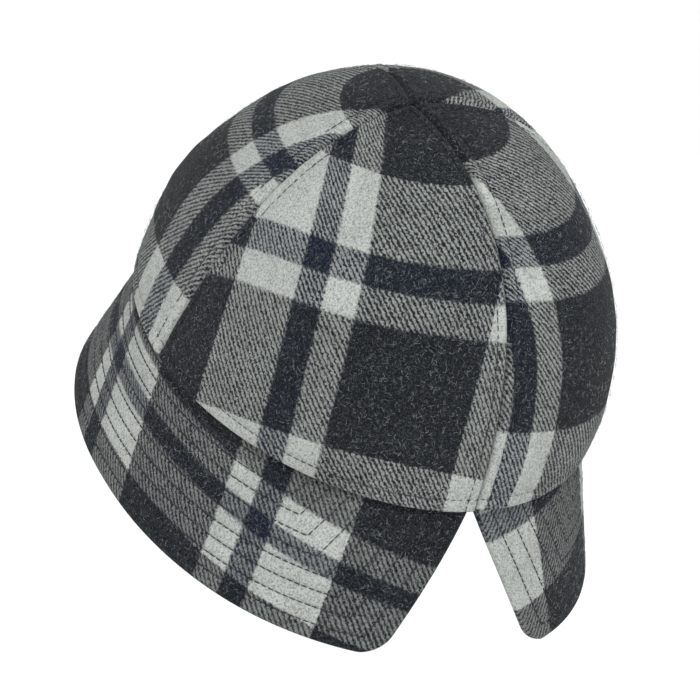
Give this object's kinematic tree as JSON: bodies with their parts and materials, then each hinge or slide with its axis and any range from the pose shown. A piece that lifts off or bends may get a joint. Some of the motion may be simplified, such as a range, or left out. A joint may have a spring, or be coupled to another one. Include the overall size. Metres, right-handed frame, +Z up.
{
  "type": "trapper hat",
  "caption": "Four-panel plaid wool trapper hat with a stitched, steeply sloped brim, notched at the back, whose brim turns up in zones.",
  "frame": {"origin": "centre of the head opening, in the plane of the crown's lower edge", "axes": "-Y to the front of the head, +Y to the notch at the back, +X to the wearer's left, +Z up through the crown"},
  "size_m": [0.1916, 0.2409, 0.1683],
  "materials": {
    "wool_crown": "brushed plaid wool, light grey, charcoal and navy",
    "wool_brim": "brushed plaid wool, light grey, charcoal and navy",
    "wool_under_brim": "brushed plaid wool, light grey, charcoal and navy",
    "interlining": "stiff woven interlining",
    "thread": "sewing thread",
    "lining": "smooth woven lining",
    "seam_tape": "woven tape",
    "sweatband": "ribbed cotton band",
    "binding": "woven binding",
    "label": "blank woven label"
  },
  "bodies": {
    "crown": {"panel_front_left": "wool_crown", "panel_front_right": "wool_crown", "panel_back_left": "wool_crown", "panel_back_right": "wool_crown", "crown_hem": "wool_crown", "hem_stitching": "thread", "seam_stitching_front": "thread", "seam_stitching_back": "thread", "seam_stitching_left": "thread", "seam_stitching_right": "thread", "lining_front_left": "lining", "lining_front_right": "lining", "lining_back_left": "lining", "lining_back_right": "lining", "seam_tape_front": "seam_tape", "seam_tape_back": "seam_tape", "seam_tape_left": "seam_tape", "seam_tape_right": "seam_tape", "sweatband": "sweatband", "sweatband_binding": "binding", "size_label": "label", "care_label": "label", "brim_root_top": "wool_brim", "brim_root_interlining": "interlining", "brim_root_under": "wool_under_brim", "brim_root_stitching": "thread"},
    "brim_left": {"brim_left_top": "wool_brim", "brim_left_interlining": "interlining", "brim_left_under": "wool_under_brim", "brim_left_stitching": "thread"},
    "brim_right": {"brim_right_top": "wool_brim", "brim_right_interlining": "interlining", "brim_right_under": "wool_under_brim", "brim_right_stitching": "thread"},
    "brim_front": {"brim_front_top": "wool_brim", "brim_front_interlining": "interlining", "brim_front_under": "wool_under_brim", "brim_front_stitching": "thread"},
    "brim_back_left": {"brim_back_left_top": "wool_brim", "brim_back_left_interlining": "interlining", "brim_back_left_under": "wool_under_brim", "brim_back_left_stitching": "thread"},
    "brim_back_right": {"brim_back_right_top": "wool_brim", "brim_back_right_interlining": "interlining", "brim_back_right_under": "wool_under_brim", "brim_back_right_stitching": "thread"}
  },
  "joints": [
    {"name": "left_turn_up", "type": "hinge", "parent": "crown", "child": "brim_left", "pos_m": [0.08835, 0, -0.0146], "axis": [0, -1, 0], "range_deg": [0, 100]},
    {"name": "right_turn_up", "type": "hinge", "parent": "crown", "child": "brim_right", "pos_m": [-0.08835, 0, -0.0146], "axis": [0, 1, 0], "range_deg": [0, 100]},
    {"name": "front_turn_up", "type": "hinge", "parent": "crown", "child": "brim_front", "pos_m": [0, -0.10801, -0.0142], "axis": [-1, 0, 0], "range_deg": [0, 100]},
    {"name": "back_left_turn_up", "type": "hinge", "parent": "crown", "child": "brim_back_left", "pos_m": [0.04797, 0.09415, -0.0134], "axis": [0.891, -0.454, 0], "range_deg": [0, 100]},
    {"name": "back_right_turn_up", "type": "hinge", "parent": "crown", "child": "brim_back_right", "pos_m": [-0.04797, 0.09415, -0.0134], "axis": [0.891, 0.454, 0], "range_deg": [0, 100]}
  ]
}
